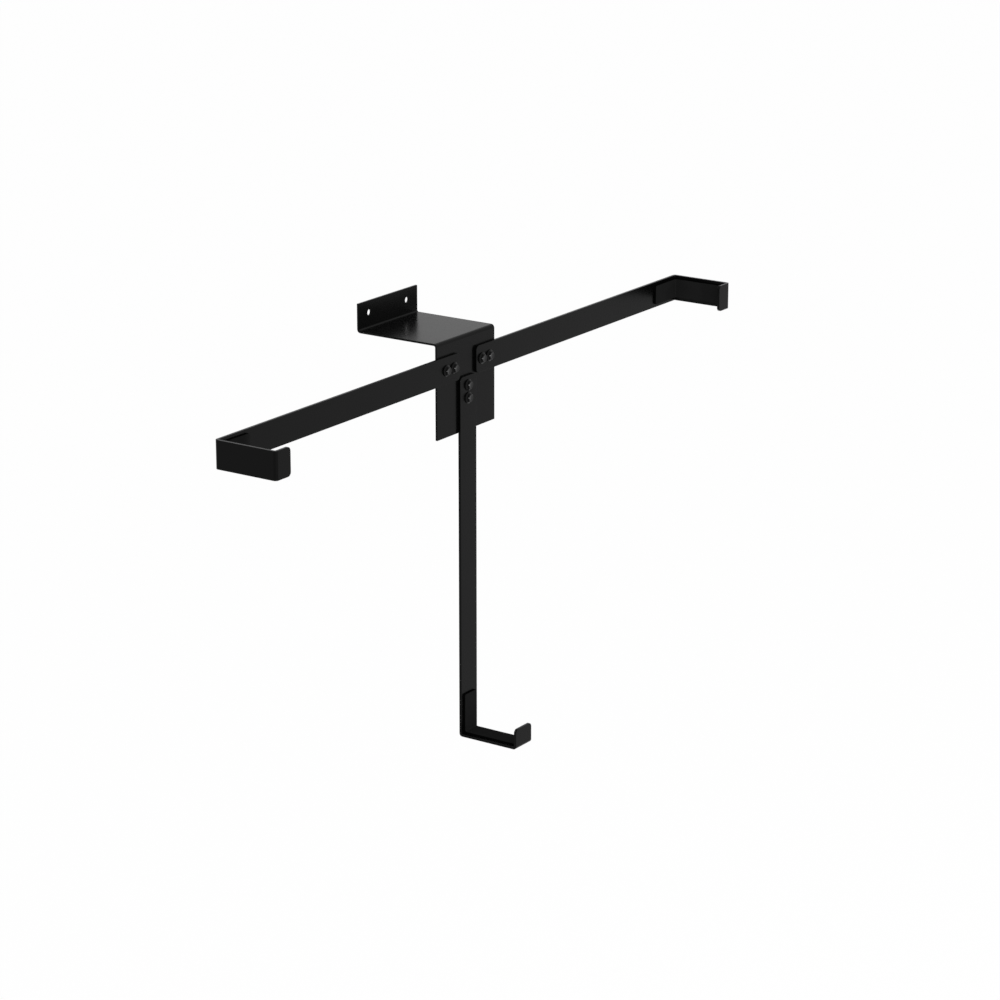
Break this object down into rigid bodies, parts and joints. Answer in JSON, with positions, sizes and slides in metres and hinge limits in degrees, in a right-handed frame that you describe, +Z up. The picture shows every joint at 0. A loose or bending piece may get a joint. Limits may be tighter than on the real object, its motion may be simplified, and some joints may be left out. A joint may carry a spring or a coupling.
{
  "type": "wall rack",
  "caption": "Black steel wall rack: a bent wall bracket carries flat bar arms that end in padded hooks and hold a round frame by its rim, flat against the wall.",
  "frame": {"origin": "midway between the two wall holes, on the wall", "axes": "+X to the right as seen from the room, +Y into the wall, +Z up"},
  "size_m": [1.138, 0.241, 0.647],
  "materials": {
    "powder_coat": "black powder coat, satin, with a fine grain",
    "liner_rubber": "matte black foam rubber",
    "fastener_black": "black oxide, satin"
  },
  "bodies": {
    "root": {"wall_bracket": "powder_coat", "left_arm": "powder_coat", "left_pad": "liner_rubber", "left_inner_bolt": "fastener_black", "left_inner_nut": "fastener_black", "left_outer_bolt": "fastener_black", "left_outer_nut": "fastener_black", "right_arm": "powder_coat", "right_pad": "liner_rubber", "right_inner_bolt": "fastener_black", "right_inner_nut": "fastener_black", "right_outer_bolt": "fastener_black", "right_outer_nut": "fastener_black", "lower_arm": "powder_coat", "lower_pad": "liner_rubber", "lower_inner_bolt": "fastener_black", "lower_inner_nut": "fastener_black", "lower_outer_bolt": "fastener_black", "lower_outer_nut": "fastener_black"}
  },
  "joints": []
}
